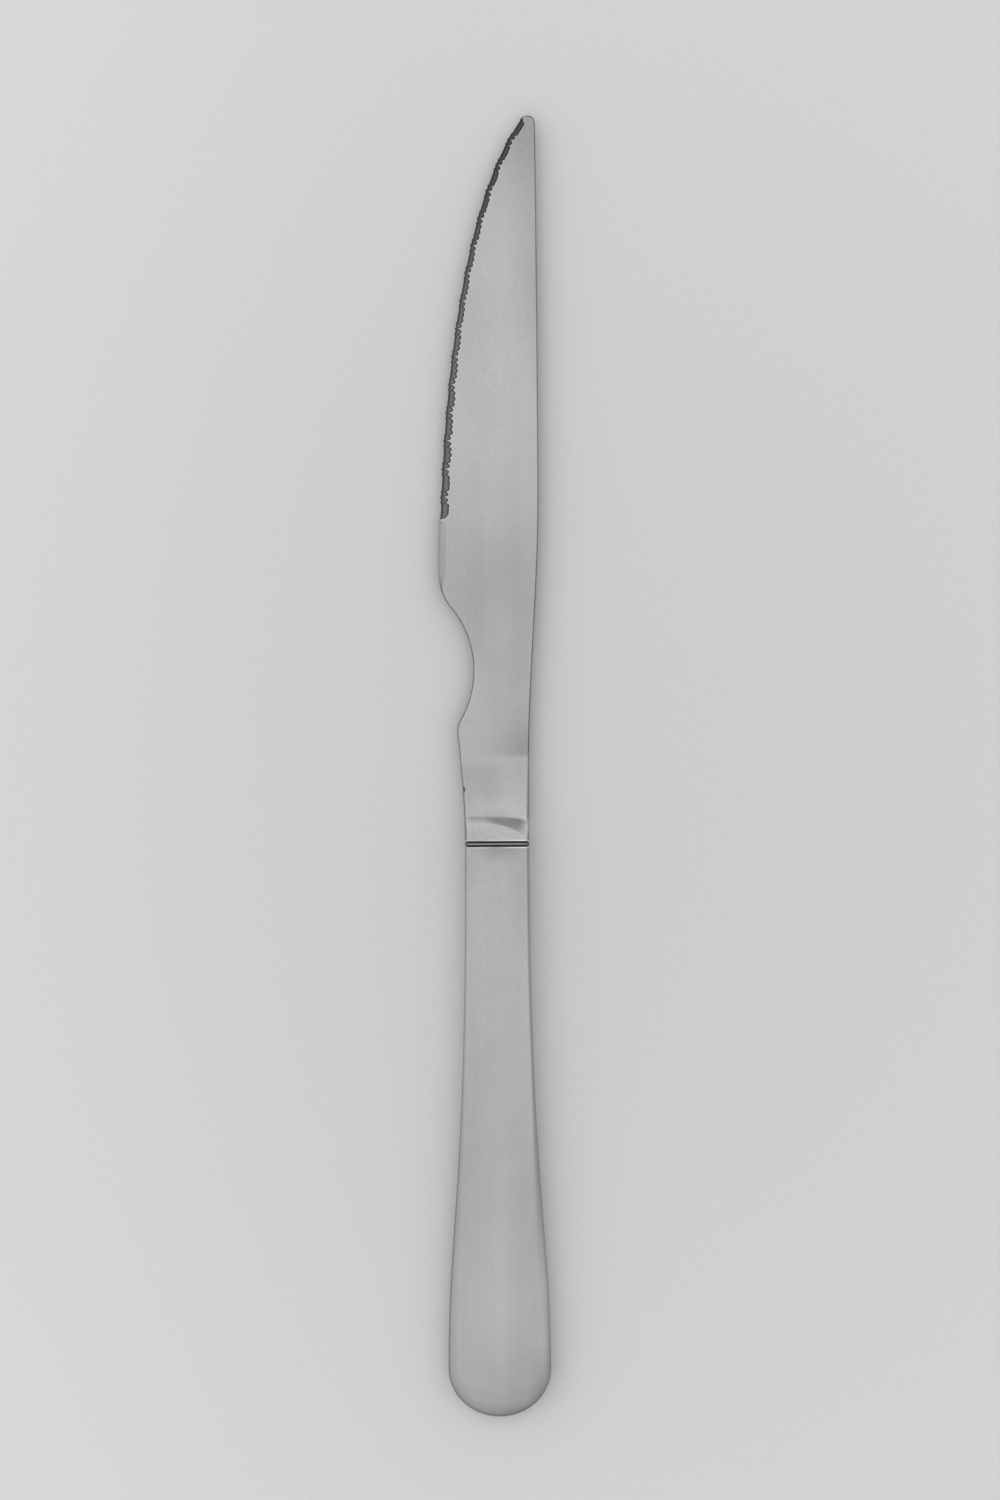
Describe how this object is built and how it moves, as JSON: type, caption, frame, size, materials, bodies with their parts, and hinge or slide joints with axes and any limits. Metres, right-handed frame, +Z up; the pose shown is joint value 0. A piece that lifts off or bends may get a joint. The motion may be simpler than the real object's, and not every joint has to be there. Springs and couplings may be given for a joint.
{
  "type": "steak knife",
  "caption": "Stainless steak knife: flat blade with a serrated curved edge, finger choil and forged bolster, joined by a thin ring to a hollow handle that widens to a round butt.",
  "frame": {"origin": "middle of the knife's outline, on the surface it lies on", "axes": "+Y from butt to blade tip, +X towards the spine, +Z up out of the serrated front face"},
  "size_m": [0.0192, 0.23, 0.0052],
  "materials": {
    "blade_steel": "satin, ground lengthwise",
    "ring_steel": "ground",
    "handle_steel": "satin, brushed lengthwise",
    "braze": "ground flush with the shells",
    "cement": "matt, cast inside the handle"
  },
  "bodies": {
    "root": {"forged_blade": "blade_steel", "joint_ring": "ring_steel", "front_handle_shell": "handle_steel", "back_handle_shell": "handle_steel", "seam_braze": "braze", "handle_filler": "cement"}
  },
  "joints": []
}
